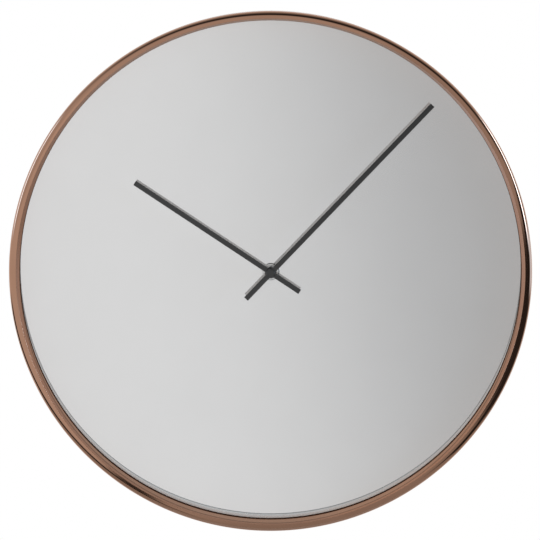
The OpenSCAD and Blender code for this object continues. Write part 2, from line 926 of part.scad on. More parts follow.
// wheel body with its hub bored for an arbor of another piece
module centre_wheel() {
  hub_r = minute_rear_d;
  color([0.93, 0.92, 0.88])
    difference() {
      union() {
        wheel(p_centre, lv_centre, t_centre, mod_train, turn_centre, hub_r);
        in_movement(p_centre, lv_centre - pinion_over, wheel_t + pinion_over)
          disc(hub_r, wheel_t + pinion_over);
      }
      in_movement(p_centre, lv_centre - pinion_over, wheel_t + pinion_over)
        bore(minute_rear_d / 2 + run_gap, wheel_t + pinion_over);
    }
}

// sprung washer pressed on the minute arbor: it lets the hands slip when they are set
module friction_spring() {
  len = level_gap / 2;
  gap = (level_gap - len) / 2;
  color([0.80, 0.66, 0.36])
    in_movement(p_centre, lv_centre + wheel_t + gap / 2, len)
      difference() {
        disc(minute_rear_d, len);
        bore(minute_rear_d / 2 + seat_gap / 2, len);
      }
}

module motion_wheel() {
  color([0.93, 0.92, 0.88]) {
    wheel(p_motion, lv_motion, t_motion, mod_motion, turn_motion, mod_motion * t_motion_pinion / 2);
    pinion(p_motion, lv_hour, t_motion_pinion, mod_motion, turn_motion_pinion);
    in_movement(p_motion, lv_hour, level_step)
      disc(mod_motion * t_motion_pinion / 2 - tooth_ded * mod_motion, level_step);
    arbor(p_motion, arbor_d);
  }
}

module setting_pinion() {
  start = floor_t - pivot_depth;
  len = mv_t + knob_gap + knob_h - cover_t - start;
  color([0.93, 0.92, 0.88]) {
    wheel(p_setting, lv_motion, t_setting, mod_motion, turn_setting, stem_d);
    in_movement(p_setting, start, len)
      disc(stem_d / 2, len);
  }
}

// outline with straight ridges all round for the finger
function ridged(n, r_out, r_in) = [
  for (i = [0:4 * n - 1])
    let (r = i % 4 < 2 ? r_out : r_in, a = i * full_turn / (4 * n))
    [r * cos(a), r * sin(a)]
];

module setting_knob() {
  start = mv_t + knob_gap;
  ridges = 24;
  color([0.12, 0.12, 0.13])
    difference() {
      in_movement(p_setting, start, knob_h)
        linear_extrude(knob_h)
          polygon(ridged(ridges, knob_d / 2, knob_d / 2 - knob_gap));
      in_movement(p_setting, start - eps, knob_h - cover_t + pivot_end)
        disc(stem_d / 2 + seat_gap / 2, knob_h - cover_t + pivot_end);
    }
}

// wheel with a leaf pinion on a plain arbor
module compound(p, lv_wheel, n, m, turn, lv_leaf, m_leaf, turn_leaf) {
  wheel(p, lv_wheel, n, m, turn, arbor_d);
  pinion(p, lv_leaf, t_leaf, m_leaf, turn_leaf);
  in_movement(p, lv_leaf, level_step)
    disc(m_leaf * t_leaf / 2 - tooth_ded * m_leaf, level_step);
  arbor(p, arbor_d);
}

module third_wheel() {
  color([0.93, 0.92, 0.88])
    compound(p_third, lv_third, t_third, mod_train, turn_third, lv_centre, mod_train, turn_third_leaf);
}

module seconds_wheel() {
  color([0.93, 0.92, 0.88])
    compound(p_seconds, lv_seconds, t_seconds, mod_train, turn_seconds, lv_third, mod_train,
      turn_seconds_leaf);
}

module intermediate_wheel() {
  color([0.93, 0.92, 0.88])
    compound(p_first, lv_first, t_first, mod_first, turn_first, lv_seconds, mod_train, turn_first_leaf);
}

module rotor_arbor() {
  color([0.93, 0.92, 0.88]) {
    pinion(p_rotor, lv_first, t_leaf, mod_first, turn_rotor);
    arbor(p_rotor, arbor_d);
  }
}

module rotor_magnet() {
  color([0.25, 0.25, 0.27])
    in_movement(p_rotor, lv_magnet, magnet_h)
      difference() {
        disc(magnet_d / 2, magnet_h);
        bore(arbor_d / 2 + seat_gap / 2, magnet_h);
      }
}

// plate with the rotor's eye, narrowed at two slits, and an arm around the coil
module stator_plate() {
  eye_left = p_rotor[0] - stator_eye / 2;
  slit = 0.5;
  color([0.62, 0.63, 0.65])
    difference() {
      in_movement(p_centre, lv_stator, stator_t)
        linear_extrude(stator_t) {
          translate([eye_left, p_rotor[1] - stator_eye / 2])
            square(stator_eye);
          translate([stator_left, stator_low])
            square([eye_left - stator_left + eps, stator_arm]);
          translate([stator_left, stator_low])
            square([stator_arm, coil_y + core_w / 2 - stator_low]);
        }
      in_movement(p_rotor, lv_stator, stator_t)
        bore(magnet_d / 2 + air_gap, stator_t);
      in_movement([p_rotor[0] + stator_eye / 2, p_rotor[1]], lv_stator, stator_t)
        translate([-slit * 2, -slit / 2, -eps])
          cube([slit * 4, slit, stator_t + 2 * eps]);
      in_movement(pillar_stator, lv_stator, stator_t)
        bore(spigot_d / 2 + seat_gap, stator_t);
    }
}

module coil_core() {
  left = stator_left;
  color([0.62, 0.63, 0.65])
    in_movement([left, coil_y - core_w / 2], lv_core, core_t)
      cube([core_right - left, core_w, core_t]);
}

module drive_coil() {
  lie = [coil_x - coil_len / 2, coil_y];
  slot_w = core_w + 2 * seat_gap;
  slot_t = core_t + 2 * seat_gap;
  color([0.70, 0.33, 0.16])
    difference() {
      in_movement(lie, lv_coil, 0)
        rotate([0, 90, 0]) {
          disc(coil_d / 2, coil_len);
          for (x = [0, coil_len - coil_end])
            translate([-coil_flange / 2, -coil_flange / 2, x])
              cube([coil_flange, coil_flange, coil_end]);
        }
      in_movement(lie, lv_coil, 0)
        translate([-eps, -slot_w / 2, -slot_t / 2])
          cube([coil_len + 2 * eps, slot_w, slot_t]);
    }
}

module circuit_board() {
  chip = 5;
  color([0.10, 0.30, 0.16]) {
    in_movement([pcb_left, pcb_low], lv_pcb, pcb_t)
      cube([pcb_w, pcb_len, pcb_t]);
    in_movement([pcb_left + pcb_w / 2, pcb_top - chip], lv_pcb + pcb_t, pcb_t)
      disc(chip / 2, pcb_t);
  }
}

module quartz_crystal() {
  color([0.72, 0.73, 0.74])
    in_movement([pcb_left + pcb_w / 2, pcb_low + pcb_len / 2], lv_pcb + pcb_t + crystal_d / 2 + eps, 0)
      rotate([90, 0, 0])
        disc(crystal_d / 2, crystal_len);
}

// leaf spring in the bay and a strip that runs up to the circuit board
module negative_contact() {
  x0 = -room + slot_clear / 2;
  x1 = x0 + contact_t - eps;
  bump = -cell_len / 2 - button_len / 2 - slot_clear;
  start = cell_lv - contact_w / 2;
  y0 = cell_y - cell_r + cell_gap;
  y1 = cell_y + cell_r - cell_gap;
  root = contact_t * 2;
  rise = start - lv_pcb - pcb_t + eps;
  color([0.74, 0.75, 0.76]) {
    in_movement(p_centre, start, contact_w)
      linear_extrude(contact_w) {
        translate([x0, y0])
          square([contact_t, pcb_low + contact_w / 2 - y0]);
        polygon([[x1, y0], [bump, cell_y], [x1, y1], [x1, y1 - root], [bump - contact_t, cell_y],
          [x1, y0 + root]]);
      }
    in_movement([x0, pcb_low], lv_pcb + pcb_t, rise)
      cube([contact_t, contact_w / 2, rise]);
    in_movement([x0, pcb_low], lv_pcb + pcb_t, contact_t)
      cube([contact_w / 3, contact_w / 2, contact_t]);
  }
}

// plate in the bay and a strip along the partition that ends on the circuit board
module positive_contact() {
  x1 = room - slot_clear / 2;
  x0 = x1 - contact_t;
  start = cell_lv - contact_w / 2;
  run_y = room_low + slot_clear;
  color([0.74, 0.75, 0.76]) {
    in_movement([x0, cell_y - contact_w / 2], start, contact_w)
      cube([contact_t, run_y + contact_t - cell_y + contact_w / 2, contact_w]);
    in_movement([x0, bay_high - contact_w / 2], lv_pcb + pcb_t, start - lv_pcb - pcb_t + eps)
      cube([contact_t, run_y + contact_t - bay_high + contact_w / 2, start - lv_pcb - pcb_t + eps]);
    in_movement([pcb_left + pcb_w / 2, run_y], lv_pcb + pcb_t, pcb_t)
      cube([x1 - pcb_left - pcb_w / 2, contact_t, pcb_t]);
    in_movement([pcb_left + pcb_w / 2, run_y], lv_pcb + pcb_t, contact_t)
      cube([contact_w / 4, contact_w / 4, contact_t]);
  }
}

// cell with turned-in ends and the button of its positive end
module battery_cell() {
  start = -(cell_len + button_len) / 2;
  turn_in = button_len / 2;
  color([0.30, 0.32, 0.34])
    in_movement([start, cell_y], cell_lv, 0)
      rotate([0, 90, 0]) {
        cylinder(r1 = cell_r - turn_in, r2 = cell_r, h = turn_in);
        translate([0, 0, turn_in])
          disc(cell_r, cell_len - 2 * turn_in);
        translate([0, 0, cell_len - turn_in])
          cylinder(r1 = cell_r, r2 = cell_r - turn_in, h = turn_in);
        translate([0, 0, cell_len - eps])
          disc(button_d / 2, button_len + eps);
      }
}

frame_ring();
front_gasket();
mirror_disc();
backing_board();
edge_strip();
retaining_clips();
clip_screws();
hanger_plate();
movement_base();
movement_bridge();
movement_cover();
threaded_post();
rubber_washer();
dial_washer();
hex_nut();
hour_wheel();
hour_hand();
minute_arbor();
minute_hand();
hand_nut();
friction_spring();
motion_wheel();
setting_pinion();
setting_knob();
centre_wheel();
third_wheel();
seconds_wheel();
intermediate_wheel();
rotor_arbor();
rotor_magnet();
stator_plate();
coil_core();
drive_coil();
circuit_board();
quartz_crystal();
negative_contact();
positive_contact();
battery_cell();
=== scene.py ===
import math

import bmesh
import bpy
from mathutils import Matrix, Vector


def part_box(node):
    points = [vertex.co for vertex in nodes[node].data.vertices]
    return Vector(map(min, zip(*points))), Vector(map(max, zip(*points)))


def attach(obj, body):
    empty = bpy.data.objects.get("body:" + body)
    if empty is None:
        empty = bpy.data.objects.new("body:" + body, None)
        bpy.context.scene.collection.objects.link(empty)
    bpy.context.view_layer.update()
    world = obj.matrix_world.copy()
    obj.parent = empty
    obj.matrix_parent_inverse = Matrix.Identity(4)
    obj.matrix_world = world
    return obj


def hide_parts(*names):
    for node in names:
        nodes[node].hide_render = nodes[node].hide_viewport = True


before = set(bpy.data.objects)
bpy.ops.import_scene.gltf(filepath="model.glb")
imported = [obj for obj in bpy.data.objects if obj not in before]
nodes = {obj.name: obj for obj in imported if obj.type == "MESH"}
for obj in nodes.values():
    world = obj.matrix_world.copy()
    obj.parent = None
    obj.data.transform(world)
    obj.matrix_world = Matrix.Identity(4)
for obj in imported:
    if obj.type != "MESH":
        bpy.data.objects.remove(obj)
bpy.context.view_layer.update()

# Frame ring: a sheet-metal channel, rolled and spun to a circle, polished and copper plated. The
# outer front corner is rounded, the face falls away a little towards it, the lip turns in to the
# glass, and a narrow flange turns in at the rear and rests on the wall.
mm = 0.001
frame_r = 300 * mm
face_w = 8.6 * mm
face_fall = 0.5 * mm
outer_round = 6 * mm
lip_round = 0.3 * mm
lip_lean = 2.4 * mm
sheet = 1.2 * mm
flange_w = 3.4 * mm
edge_round = 0.3 * mm
arc_steps = 12
ring_turns = 400
lip_r = frame_r - face_w - lip_lean


def depths(name):
    """Distances of a CAD node's rear and front from the wall."""
    low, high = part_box(name)
    return -high.y, -low.y


def soft_section(corners, steps):
    """Closed section of (radius, distance from the wall, rounding), each corner rounded by an arc with
    a point close beside each end, so that the flats stay flat."""
    points = []
    for i, (r, d, rounding) in enumerate(corners):
        here = Vector((r, d))
        if rounding == 0:
            points.append(here)
            continue
        back = (Vector(corners[i - 1][:2]) - here).normalized()
        onward = (Vector(corners[(i + 1) % len(corners)][:2]) - here).normalized()
        half = back.angle(onward) / 2
        reach = rounding / math.tan(half)
        beside = min(0.12 * mm, rounding / 4)
        centre = here + (back + onward).normalized() * rounding / math.sin(half)
        start, end = here + back * reach - centre, here + onward * reach - centre
        sweep = start.angle(end)
        points.append(here + back * (reach + beside))
        for k in range(steps + 1):
            part = sweep * k / steps
            spoke = (start * math.sin(sweep - part) + end * math.sin(part)) / math.sin(sweep)
            points.append(centre + spoke)
        points.append(here + onward * (reach + beside))
    return points


def loft(name, loops, sharp):
    """Mesh object through closed loops of points, the last loop joined to the first."""
    bm = bmesh.new()
    rows = [[bm.verts.new(point) for point in loop] for loop in loops]
    for one, two in zip(rows, rows[1:] + rows[:1]):
        for i in range(len(one)):
            j = (i + 1) % len(one)
            bm.faces.new((one[i], one[j], two[j], two[i]))
    bmesh.ops.remove_doubles(bm, verts=bm.verts, dist=0.0001 * mm)
    bmesh.ops.recalc_face_normals(bm, faces=bm.faces)
    mesh = bpy.data.meshes.new(name)
    bm.to_mesh(mesh)
    bm.free()
    mesh.shade_smooth()
    mesh.set_sharp_from_angle(angle=math.radians(sharp))
    piece = bpy.data.objects.new(name, mesh)
    bpy.context.scene.collection.objects.link(piece)
    return piece


def circle(r, d, turns):
    """Points of a circle about the axis of the hands."""
    angles = [2 * math.pi * i / turns for i in range(turns)]
    return [(r * math.cos(a), -d, r * math.sin(a)) for a in angles]


def spun(name, section, turns):
    """Turns a closed section about the axis of the hands."""
    return loft(name, [circle(p[0], p[1], turns) for p in section], 40)


def stand_for(piece, node, body, material):
    """Shows a piece in place of a CAD node, on its body and in its material."""
    piece.data.materials.append(material)
    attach(piece, body)
    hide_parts(node)


def finish(name, colour, metal, rough):
    """New material with plain values on its shader."""
    material = bpy.data.materials.new(name)
    material.use_nodes = True
    shader = material.node_tree.nodes["Principled BSDF"]
    shader.inputs["Base Color"].default_value = (*colour, 1)
    shader.inputs["Metallic"].default_value = metal
    shader.inputs["Roughness"].default_value = rough
    return material, material.node_tree, shader


def put(tree, kind, **values):
    """Adds a node and sets its inputs by name."""
    made = tree.nodes.new(kind)
    for key, value in values.items():
        made.inputs[key.replace("_", " ")].default_value = value
    return made


def tint(tree, mask, dark, light):
    """Colour between two tones along a mask, which lies mostly between 0.3 and 0.7."""
    ramp = tree.nodes.new("ShaderNodeValToRGB")
    for stop, place, colour in zip(ramp.color_ramp.elements, (0.3, 0.7), (dark, light)):
        stop.position, stop.color = place, (*colour, 1)
    tree.links.new(mask, ramp.inputs["Fac"])
    return ramp.outputs["Color"]


def span(tree, mask, low, high):
    """Value between two limits along a mask."""
    made = put(tree, "ShaderNodeMapRange", To_Min=low, To_Max=high)
    tree.links.new(mask, made.inputs["Value"])
    return made.outputs["Result"]


def relief(tree, shader, mask, depth, strength):
    """Bump of a given depth from a mask."""
    bump = put(tree, "ShaderNodeBump", Strength=strength, Distance=depth)
    tree.links.new(mask, bump.inputs["Height"])
    tree.links.new(bump.outputs["Normal"], shader.inputs["Normal"])


def effect(name, outputs, **inputs):
    """Empty node group for an effect that several materials share."""
    made = bpy.data.node_groups.new(name, "ShaderNodeTree")
    number = "NodeSocketFloat"
    for label, value in inputs.items():
        made.interface.new_socket(label, in_out="INPUT", socket_type=number).default_value = value
    for label in outputs:
        made.interface.new_socket(label, in_out="OUTPUT", socket_type=number)
    return made, made.nodes.new("NodeGroupInput"), made.nodes.new("NodeGroupOutput")


def use(tree, made, **values):
    """Places an effect in a material with its own values."""
    placed = tree.nodes.new("ShaderNodeGroup")
    placed.node_tree = made
    for key, value in values.items():
        placed.inputs[key].default_value = value
    return placed.outputs


def speckle(tree, place, scale, detail):
    """Soft noise over the surface."""
    noise = put(tree, "ShaderNodeTexNoise", Scale=scale, Detail=detail, Roughness=0.65)
    tree.links.new(place, noise.inputs["Vector"])
    return noise


# fine lines round the axis, as spinning, turning and polishing leave them
turned, given, result = effect("turned lines", ["Lines", "Cloud"], Fineness=3000.0)
place = turned.nodes.new("ShaderNodeTexCoord").outputs["Object"]
parts = turned.nodes.new("ShaderNodeSeparateXYZ")
turned.links.new(place, parts.inputs["Vector"])
across = turned.nodes.new("ShaderNodeCombineXYZ")
turned.links.new(parts.outputs["X"], across.inputs["X"])
turned.links.new(parts.outputs["Z"], across.inputs["Z"])
radius = turned.nodes.new("ShaderNodeVectorMath")
radius.operation = "LENGTH"
turned.links.new(across.outputs["Vector"], radius.inputs[0])
bearing = turned.nodes.new("ShaderNodeMath")
bearing.operation = "ARCTAN2"
turned.links.new(parts.outputs["X"], bearing.inputs[0])
turned.links.new(parts.outputs["Z"], bearing.inputs[1])
stretched = turned.nodes.new("ShaderNodeCombineXYZ")
turned.links.new(bearing.outputs["Value"], stretched.inputs["Z"])
for value, axis in ((radius.outputs["Value"], "X"), (parts.outputs["Y"], "Y")):
    finer = turned.nodes.new("ShaderNodeMath")
    finer.operation = "MULTIPLY"
    turned.links.new(value, finer.inputs[0])
    turned.links.new(given.outputs["Fineness"], finer.inputs[1])
    turned.links.new(finer.outputs["Value"], stretched.inputs[axis])
ridges = speckle(turned, stretched.outputs["Vector"], 1.0, 3.0)
turned.links.new(ridges.outputs["Fac"], result.inputs["Lines"])
turned.links.new(speckle(turned, place, 9.0, 3.0).outputs["Fac"], result.inputs["Cloud"])

ring_rear, ring_front = depths("frame_ring")
glass_rear, glass_front = depths("mirror_disc")
gasket_rear, leg_end = depths("front_gasket")
ring = spun("frame_ring_polished", soft_section([
    (frame_r - flange_w, ring_rear, edge_round), (frame_r, ring_rear, sheet / 2),
    (frame_r, ring_front - face_fall, outer_round), (lip_r + lip_lean, ring_front, lip_round),
    (lip_r, leg_end, edge_round), (lip_r + sheet, leg_end, edge_round),
    (lip_r + lip_lean + sheet, ring_front - sheet, edge_round),
    (frame_r - sheet, ring_front - face_fall - sheet, outer_round - sheet),
    (frame_r - sheet, ring_rear + sheet, edge_round),
    (frame_r - flange_w, ring_rear + sheet, edge_round)], arc_steps), ring_turns)
copper, tree, shader = finish("copper plate", (0.50, 0.285, 0.19), 1.0, 0.1)
lines = use(tree, turned, Fineness=2600.0)
warm = tint(tree, lines["Cloud"], (0.48, 0.27, 0.18), (0.53, 0.30, 0.205))
tree.links.new(warm, shader.inputs["Base Color"])
tree.links.new(span(tree, lines["Lines"], 0.03, 0.10), shader.inputs["Roughness"])
relief(tree, shader, lines["Lines"], 0.004 * mm, 0.2)
shader.inputs["Specular Tint"].default_value = (0.66, 0.54, 0.49, 1)
stand_for(ring, "frame_ring", "case", copper)

# Front gasket: a thin strip of foam between the lip of the frame and the glass. Pressed by the weight
# of the glass, it bulges past the lip, most at the bottom and not at all at the top. Its dark brown
# tone is painted shade: it shows as the fine dark shade line at the foot of the inner wall.
porous, given, result = effect("pores", ["Pores", "Tone"], Size=900.0)
place = porous.nodes.new("ShaderNodeTexCoord").outputs["Object"]
cells = porous.nodes.new("ShaderNodeTexVoronoi")
porous.links.new(place, cells.inputs["Vector"])
porous.links.new(given.outputs["Size"], cells.inputs["Scale"])
porous.links.new(cells.outputs["Distance"], result.inputs["Pores"])
porous.links.new(speckle(porous, place, 60.0, 4.0).outputs["Fac"], result.inputs["Tone"])

# The foam's dark brown tone is painted shade, the colour of the shadow at the foot of the inner wall.
# The edge strip and the rubber washer share it.
shade_brown_foam, tree, shader = finish("shade brown foam rubber", (0.10, 0.048, 0.026), 0.0, 0.9)
shader.inputs["Specular IOR Level"].default_value = 0.1
pores = use(tree, porous, Size=1400.0)
dark = tint(tree, pores["Tone"], (0.08, 0.039, 0.021), (0.12, 0.058, 0.031))
tree.links.new(dark, shader.inputs["Base Color"])
relief(tree, shader, pores["Pores"], 0.2 * mm, 0.5)


def washer_section(inner, outer, low, high, rounding):
    """Section of a flat ring with eased edges."""
    return soft_section([(inner, low, rounding), (outer, low, rounding),
                         (outer, high, rounding), (inner, high, rounding)], 4)


gasket_w, gasket_round, bulge = 3 * mm, 0.35 * mm, 0.45 * mm
disc_turns = 320
gasket = spun("front_gasket_foam", washer_section(lip_r - bulge, lip_r + gasket_w,
                                                  gasket_rear, leg_end, gasket_round), disc_turns)
for vert in gasket.data.vertices:
    if Vector((vert.co.x, vert.co.z)).length < lip_r:
        vert.co.z += bulge
stand_for(gasket, "front_gasket", "case", shade_brown_foam)

# Mirror: float glass cut to a circle, bored at the centre and silvered behind. Its front edge is ground
# to a very flat matt bevel, a little off centre, which shows as a fine grey rim below and hides under
# the lip above. A faint haze makes what it mirrors paler than it is.
glass_r, glass_bore, ground_edge = 296 * mm, 4.5 * mm, 0.6 * mm
bevel_r, bevel_up, bevel_tilt = 288.2 * mm, 5.6 * mm, 1.5
bevel_slope = math.tan(math.radians(bevel_tilt))
border_soft, mark_from, mark_to = 0.2 * mm, 0.9 * mm, 1.2 * mm
silver, matt_rough = 0.75, 0.25


def bevelled(r, drop):
    """Circle near the glass edge, on the bevel or below it."""
    points = []
    for x, y, z in circle(r, glass_front - drop, disc_turns):
        points.append((x, y + bevel_slope * (math.hypot(x, z - bevel_up) - bevel_r), z))
    return points


border = [(x, y, z + bevel_up) for x, y, z in circle(bevel_r, glass_front, disc_turns)]
glass = loft("mirror_silvered", [
    circle(glass_bore, glass_front, disc_turns), border, bevelled(glass_r - ground_edge, 0),
    bevelled(glass_r, ground_edge), circle(glass_r, glass_rear, disc_turns),
    circle(glass_bore, glass_rear, disc_turns)], 0.8 * bevel_tilt)
mirror, tree, shader = finish("silvered mirror", (0.863, 0.855, 0.85), silver, 0.02)
place = tree.nodes.new("ShaderNodeTexCoord").outputs["Object"]
wiped = speckle(tree, place, 14.0, 5.0).outputs["Fac"]
flat = tree.nodes.new("ShaderNodeVectorMath")
flat.operation = "MULTIPLY_ADD"
flat.inputs[1].default_value, flat.inputs[2].default_value = (1, 0, 1), (0, 0, -bevel_up)
tree.links.new(place, flat.inputs[0])
off_centre = tree.nodes.new("ShaderNodeVectorMath")
off_centre.operation = "LENGTH"
tree.links.new(flat.outputs["Vector"], off_centre.inputs[0])
matt = put(tree, "ShaderNodeMapRange", From_Min=bevel_r - border_soft, From_Max=bevel_r + border_soft)
tree.links.new(off_centre.outputs["Value"], matt.inputs["Value"])
wheel_mark = put(tree, "ShaderNodeMapRange", From_Min=bevel_r + mark_from, From_Max=bevel_r + mark_to)
tree.links.new(off_centre.outputs["Value"], wheel_mark.inputs["Value"])
skin = tree.nodes.new("ShaderNodeMix")
skin.data_type = "RGBA"
tree.links.new(matt.outputs["Result"], skin.inputs["Factor"])
frosted = tint(tree, wheel_mark.outputs["Result"], (0.50, 0.54, 0.555), (0.90, 0.97, 0.99))
tree.links.new(frosted, skin.inputs["B"])
bright = tint(tree, wiped, (0.855, 0.8475, 0.8415), (0.872, 0.8645, 0.8585))
tree.links.new(bright, skin.inputs["A"])
tree.links.new(skin.outputs["Result"], shader.inputs["Base Color"])
rougher = tree.nodes.new("ShaderNodeMath")
rougher.operation = "MULTIPLY_ADD"
rougher.inputs[1].default_value = matt_rough
tree.links.new(matt.outputs["Result"], rougher.inputs[0])
tree.links.new(span(tree, wiped, 0.012, 0.035), rougher.inputs[2])
tree.links.new(rougher.outputs["Value"], shader.inputs["Roughness"])
stand_for(glass, "mirror_disc", "case", mirror)

# Edge strip: self-adhesive foam tape wound round the edges of glass and board. It packs both discs
# inside the frame wall and keeps the glass off the metal.
tape_gap, tape_round = 0.05 * mm, 0.4 * mm
tape_rear, tape_front = depths("edge_strip")
tape = spun("edge_strip_tape", washer_section(glass_r + tape_gap, frame_r - sheet - tape_gap,
                                              tape_rear, tape_front, tape_round), disc_turns)
stand_for(tape, "edge_strip", "case", shade_brown_foam)

# Backing board: a disc of bare fibreboard behind the glass, sawn round, with a hole for the
# movement's post and pilot holes for the clip screws.
fibre, tree, shader = finish("fibreboard", (0.40, 0.26, 0.15), 0.0, 0.85)
place = tree.nodes.new("ShaderNodeTexCoord").outputs["Object"]
fluff = speckle(tree, place, 700.0, 6.0).outputs["Fac"]
pressed = speckle(tree, place, 16.0, 6.0).outputs["Fac"]
both = tree.nodes.new("ShaderNodeMath")
both.operation = "MULTIPLY_ADD"
both.inputs[1].default_value = 0.35
tree.links.new(pressed, both.inputs[0])
tree.links.new(fluff, both.inputs[2])
mottled = span(tree, both.outputs["Value"], -0.2, 0.8)
brown = tint(tree, mottled, (0.31, 0.195, 0.11), (0.47, 0.32, 0.20))
tree.links.new(brown, shader.inputs["Base Color"])
relief(tree, shader, fluff, 0.12 * mm, 0.6)


def dress(name, material, easing=0.0):
    """Gives a CAD node its material and slot, and eases its edges as pressing or moulding does."""
    piece = nodes[name]
    piece.data.materials.clear()
    piece.data.materials.append(material)
    if easing:
        weld = piece.modifiers.new("weld", "WELD")
        weld.merge_threshold = 0.001 * mm
        edge = piece.modifiers.new("eased edges", "BEVEL")
        edge.width = easing
        edge.segments = 2
        edge.limit_method = "ANGLE"
        edge.angle_limit = math.radians(40)
        edge.harden_normals = True


dress("backing_board", fibre)

# Retaining clips: short angles of galvanised strip. The foot is screwed to the board, and the leg
# stands inside the frame wall and bears on its rear flange.
zinc, given, result = effect("zinc bloom", ["Bloom", "Scuff"], Cell=260.0)
place = zinc.nodes.new("ShaderNodeTexCoord").outputs["Object"]
crystals = zinc.nodes.new("ShaderNodeTexVoronoi")
zinc.links.new(place, crystals.inputs["Vector"])
zinc.links.new(given.outputs["Cell"], crystals.inputs["Scale"])
zinc.links.new(crystals.outputs["Color"], result.inputs["Bloom"])
zinc.links.new(speckle(zinc, place, 420.0, 5.0).outputs["Fac"], result.inputs["Scuff"])


def zinc_coated(name, dark, light, smooth, rough, cell):
    """Sheet or screw under a zinc coat, with its crystals and light scuffs."""
    made, tree, shader = finish(name, light, 1.0, rough)
    bloom = use(tree, zinc, Cell=cell)
    tree.links.new(tint(tree, bloom["Bloom"], dark, light), shader.inputs["Base Color"])
    tree.links.new(span(tree, bloom["Scuff"], smooth, rough), shader.inputs["Roughness"])
    relief(tree, shader, bloom["Scuff"], 0.02 * mm, 0.3)
    return made


galvanised = zinc_coated("galvanised sheet", (0.50, 0.51, 0.525), (0.64, 0.645, 0.65),
                         0.28, 0.5, 420.0)
dress("retaining_clips", galvanised, 0.2 * mm)

# Clip screws: small pan-head screws of zinc-plated steel with a cross recess, one driven through the
# foot of each clip into the board.
plated = zinc_coated("zinc plate", (0.60, 0.61, 0.63), (0.70, 0.70, 0.69), 0.2, 0.36, 1500.0)
dress("clip_screws", plated, 0.25 * mm)

# Hanger plate: pressed from galvanised sheet, with a keyhole that hangs on a hook in the wall. Its bent
# leg is spot-welded inside the frame at the top.
dress("hanger_plate", galvanised, 0.2 * mm)

# Movement housing: base and cover moulded in black styrene with a fine spark-eroded grain, snapped
# together by a tongue on each side. The cell lies in an open bay, and the setting knob stands at
# the rear.
moulded, given, result = effect("moulded grain", ["Grain", "Flow"], Grain=2600.0)
place = moulded.nodes.new("ShaderNodeTexCoord").outputs["Object"]
pitted = speckle(moulded, place, 1.0, 2.0)
moulded.links.new(given.outputs["Grain"], pitted.inputs["Scale"])
moulded.links.new(pitted.outputs["Fac"], result.inputs["Grain"])
moulded.links.new(speckle(moulded, place, 55.0, 3.0).outputs["Fac"], result.inputs["Flow"])


def plastic(name, dark, light, smooth, rough, grain, depth):
    """Moulded skin, with flow marks in its tone and gloss."""
    made, tree, shader = finish(name, light, 0.0, rough)
    skin = use(tree, moulded, Grain=grain)
    tree.links.new(tint(tree, skin["Flow"], dark, light), shader.inputs["Base Color"])
    tree.links.new(span(tree, skin["Flow"], smooth, rough), shader.inputs["Roughness"])
    relief(tree, shader, skin["Grain"], depth, 0.5)
    return made


styrene = plastic("black styrene", (0.018, 0.018, 0.019), (0.030, 0.030, 0.032),
                  0.36, 0.52, 2600.0, 0.05 * mm)
dress("movement_base", styrene, 0.25 * mm)
dress("movement_cover", styrene, 0.25 * mm)
dress("setting_knob", styrene, 0.1 * mm)

# Bridge plate: a flat plate moulded in cream acetal. It sits on four pillars inside the housing and
# holds the rear pivots of the wheels.
cream_acetal = plastic("cream acetal", (0.60, 0.57, 0.47), (0.68, 0.65, 0.55),
                       0.34, 0.5, 3000.0, 0.02 * mm)
dress("movement_bridge", cream_acetal, 0.1 * mm)

# Wheel train: acetal wheels moulded with their pinions and arbors, from the rotor to the centre
# wheel, and the motion work that gears the minute arbor to the hour wheel.
white_acetal = plastic("white acetal", (0.72, 0.71, 0.66), (0.80, 0.79, 0.74),
                       0.3, 0.46, 3500.0, 0.01 * mm)
for name in ("hour_wheel", "motion_wheel", "setting_pinion", "centre_wheel", "third_wheel",
             "seconds_wheel", "intermediate_wheel", "rotor_arbor"):
    dress(name, white_acetal)


# Minute arbor and friction spring: turned and stamped brass. The spring lets the hands slip when
# they are set.
def turned_metal(name, dark, light, smooth, rough):
    """Metal turned on a lathe, bright or plated."""
    made, tree, shader = finish(name, light, 1.0, rough)
    lines = use(tree, turned, Fineness=9000.0)
    tree.links.new(tint(tree, lines["Cloud"], dark, light), shader.inputs["Base Color"])
    tree.links.new(span(tree, lines["Lines"], smooth, rough), shader.inputs["Roughness"])
    relief(tree, shader, lines["Lines"], 0.01 * mm, 0.3)
    return made


brass = turned_metal("turned brass", (0.70, 0.56, 0.33), (0.78, 0.64, 0.40), 0.16, 0.32)
dress("minute_arbor", brass)
dress("friction_spring", brass)

# Rotor magnet: a ring of sintered ferrite, magnetised across its width and pressed on the rotor
# arbor between the poles of the stator.
ferrite, tree, shader = finish("sintered ferrite", (0.07, 0.07, 0.075), 0.4, 0.55)
pores = use(tree, porous, Size=5000.0)
dark = tint(tree, pores["Tone"], (0.05, 0.05, 0.055), (0.10, 0.10, 0.105))
tree.links.new(dark, shader.inputs["Base Color"])
relief(tree, shader, pores["Pores"], 0.03 * mm, 0.4)
dress("rotor_magnet", ferrite, 0.15 * mm)

# Stator plate and coil core: bright stampings of soft iron, laid together so that they carry the
# coil's field round to the rotor.
stamped = zinc_coated("soft iron sheet", (0.46, 0.47, 0.49), (0.54, 0.55, 0.565), 0.28, 0.44, 900.0)
dress("stator_plate", stamped, 0.06 * mm)
dress("coil_core", stamped, 0.06 * mm)

# Drive coil: many turns of fine enamelled copper wire, wound in layers on the core between two end
# plates.
winding, tree, shader = finish("enamelled wire", (0.42, 0.15, 0.05), 0.8, 0.3)
place = tree.nodes.new("ShaderNodeTexCoord").outputs["Object"]
strands = put(tree, "ShaderNodeTexWave", Scale=1600.0, Distortion=0.4)
tree.links.new(place, strands.inputs["Vector"])
enamel = tint(tree, strands.outputs["Fac"], (0.28, 0.09, 0.03), (0.50, 0.20, 0.075))
tree.links.new(enamel, shader.inputs["Base Color"])
relief(tree, shader, strands.outputs["Fac"], 0.04 * mm, 0.8)
dress("drive_coil", winding, 0.1 * mm)

